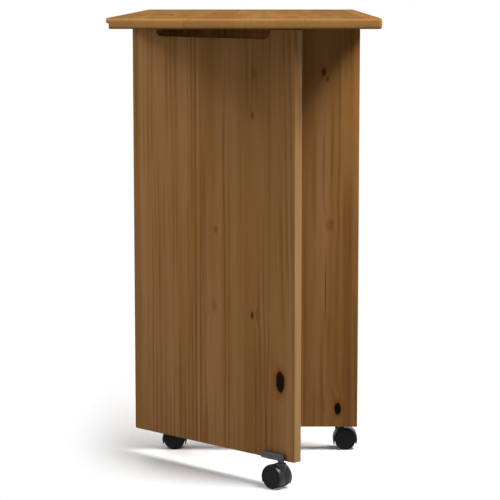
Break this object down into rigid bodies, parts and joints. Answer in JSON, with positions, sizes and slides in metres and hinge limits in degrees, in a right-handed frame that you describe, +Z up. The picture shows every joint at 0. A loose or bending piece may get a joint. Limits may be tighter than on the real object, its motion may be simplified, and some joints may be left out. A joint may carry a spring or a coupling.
{
  "type": "folding computer desk",
  "caption": "Narrow stained-pine desk on twin-wheel casters, with a fold-over end leaf carried by a swing-out gate panel with a hand cut-out.",
  "frame": {"origin": "on the floor, under the middle of the open top", "axes": "+Z up, +Y along the desk away from the leaf, +X across it towards the open knee side"},
  "size_m": [0.426, 1.065, 0.7523],
  "materials": {
    "pine_top": "honey-brown stain under satin varnish",
    "pine_panel": "darker brown stain under satin varnish",
    "pine_cleat": "stained, unpolished",
    "screw_steel": "zinc plated",
    "hinge_steel": "zinc plated",
    "satin_brass": "satin brass",
    "beech": "bare",
    "bracket_grey": "satin blue-grey paint on die-cast metal",
    "caster_steel": "zinc plated",
    "hood_plastic": "glossy black",
    "wheel_plastic": "matte black"
  },
  "bodies": {
    "frame": {"fixed_top": "pine_top", "near_end_panel": "pine_panel", "far_end_panel": "pine_panel", "back_panel": "pine_panel", "near_cleat": "pine_cleat", "far_cleat": "pine_cleat", "back_cleat": "pine_cleat", "cleat_screws": "screw_steel", "back_panel_bolts": "screw_steel", "back_panel_dowels": "beech", "leaf_hinge_fixed_plates": "satin_brass", "leaf_hinge_pins": "hinge_steel", "leaf_hinge_fixed_screws": "satin_brass", "gate_hinge_fixed_plates": "hinge_steel", "gate_hinge_pins": "hinge_steel", "gate_hinge_fixed_screws": "screw_steel", "near_left_bracket": "bracket_grey", "near_right_bracket": "bracket_grey", "far_left_bracket": "bracket_grey", "far_right_bracket": "bracket_grey", "end_panel_bracket_screws": "screw_steel"},
    "leaf": {"leaf": "pine_top", "leaf_hinge_moving_plates": "satin_brass", "leaf_hinge_moving_screws": "satin_brass"},
    "gate": {"gate_panel": "pine_panel", "gate_hinge_moving_plates": "hinge_steel", "gate_hinge_moving_screws": "screw_steel", "gate_bracket": "bracket_grey", "gate_bracket_screws": "screw_steel"},
    "near_left_swivel": {"near_left_stem": "caster_steel", "near_left_hood": "hood_plastic", "near_left_axle": "caster_steel"},
    "near_left_front_wheel": {"near_left_front_wheel": "wheel_plastic"},
    "near_left_rear_wheel": {"near_left_rear_wheel": "wheel_plastic"},
    "near_right_swivel": {"near_right_stem": "caster_steel", "near_right_hood": "hood_plastic", "near_right_axle": "caster_steel"},
    "near_right_front_wheel": {"near_right_front_wheel": "wheel_plastic"},
    "near_right_rear_wheel": {"near_right_rear_wheel": "wheel_plastic"},
    "far_left_swivel": {"far_left_stem": "caster_steel", "far_left_hood": "hood_plastic", "far_left_axle": "caster_steel"},
    "far_left_front_wheel": {"far_left_front_wheel": "wheel_plastic"},
    "far_left_rear_wheel": {"far_left_rear_wheel": "wheel_plastic"},
    "far_right_swivel": {"far_right_stem": "caster_steel", "far_right_hood": "hood_plastic", "far_right_axle": "caster_steel"},
    "far_right_front_wheel": {"far_right_front_wheel": "wheel_plastic"},
    "far_right_rear_wheel": {"far_right_rear_wheel": "wheel_plastic"},
    "gate_swivel": {"gate_stem": "caster_steel", "gate_hood": "hood_plastic", "gate_axle": "caster_steel"},
    "gate_front_wheel": {"gate_front_wheel": "wheel_plastic"},
    "gate_rear_wheel": {"gate_rear_wheel": "wheel_plastic"}
  },
  "joints": [
    {"name": "leaf_fold", "type": "hinge", "parent": "frame", "child": "leaf", "pos_m": [0, -0.2725, 0.7504], "axis": [-1, 0, 0], "range_deg": [0, 180]},
    {"name": "gate_swing", "type": "hinge", "parent": "frame", "child": "gate", "pos_m": [-0.1815, -0.2485, 0.388], "axis": [0, 0, 1], "range_deg": [-47, 43]},
    {"name": "near_left_swivel_turn", "type": "hinge", "parent": "frame", "child": "near_left_swivel", "pos_m": [-0.1345, -0.2247, 0.042], "axis": [0, 0, 1], "continuous": true},
    {"name": "near_left_front_wheel_spin", "type": "hinge", "parent": "near_left_swivel", "child": "near_left_front_wheel", "pos_m": [-0.1255, -0.2247, 0.018], "axis": [0, 1, 0], "continuous": true},
    {"name": "near_left_rear_wheel_spin", "type": "hinge", "parent": "near_left_swivel", "child": "near_left_rear_wheel", "pos_m": [-0.1255, -0.2247, 0.018], "axis": [0, 1, 0], "continuous": true},
    {"name": "near_right_swivel_turn", "type": "hinge", "parent": "frame", "child": "near_right_swivel", "pos_m": [0.162, -0.2247, 0.042], "axis": [0, 0, 1], "continuous": true},
    {"name": "near_right_front_wheel_spin", "type": "hinge", "parent": "near_right_swivel", "child": "near_right_front_wheel", "pos_m": [0.171, -0.2247, 0.018], "axis": [0, 1, 0], "continuous": true},
    {"name": "near_right_rear_wheel_spin", "type": "hinge", "parent": "near_right_swivel", "child": "near_right_rear_wheel", "pos_m": [0.171, -0.2247, 0.018], "axis": [0, 1, 0], "continuous": true},
    {"name": "far_left_swivel_turn", "type": "hinge", "parent": "frame", "child": "far_left_swivel", "pos_m": [-0.1345, 0.4817, 0.042], "axis": [0, 0, 1], "continuous": true},
    {"name": "far_left_front_wheel_spin", "type": "hinge", "parent": "far_left_swivel", "child": "far_left_front_wheel", "pos_m": [-0.1255, 0.4817, 0.018], "axis": [0, 1, 0], "continuous": true},
    {"name": "far_left_rear_wheel_spin", "type": "hinge", "parent": "far_left_swivel", "child": "far_left_rear_wheel", "pos_m": [-0.1255, 0.4817, 0.018], "axis": [0, 1, 0], "continuous": true},
    {"name": "far_right_swivel_turn", "type": "hinge", "parent": "frame", "child": "far_right_swivel", "pos_m": [0.162, 0.4817, 0.042], "axis": [0, 0, 1], "continuous": true},
    {"name": "far_right_front_wheel_spin", "type": "hinge", "parent": "far_right_swivel", "child": "far_right_front_wheel", "pos_m": [0.171, 0.4817, 0.018], "axis": [0, 1, 0], "continuous": true},
    {"name": "far_right_rear_wheel_spin", "type": "hinge", "parent": "far_right_swivel", "child": "far_right_rear_wheel", "pos_m": [0.171, 0.4817, 0.018], "axis": [0, 1, 0], "continuous": true},
    {"name": "gate_swivel_turn", "type": "hinge", "parent": "gate", "child": "gate_swivel", "pos_m": [0.05824, -0.50461, 0.042], "axis": [0, 0, 1], "continuous": true},
    {"name": "gate_front_wheel_spin", "type": "hinge", "parent": "gate_swivel", "child": "gate_front_wheel", "pos_m": [0.05166, -0.49847, 0.018], "axis": [-0.682, -0.7314, 0], "continuous": true},
    {"name": "gate_rear_wheel_spin", "type": "hinge", "parent": "gate_swivel", "child": "gate_rear_wheel", "pos_m": [0.05166, -0.49847, 0.018], "axis": [-0.682, -0.7314, 0], "continuous": true}
  ]
}
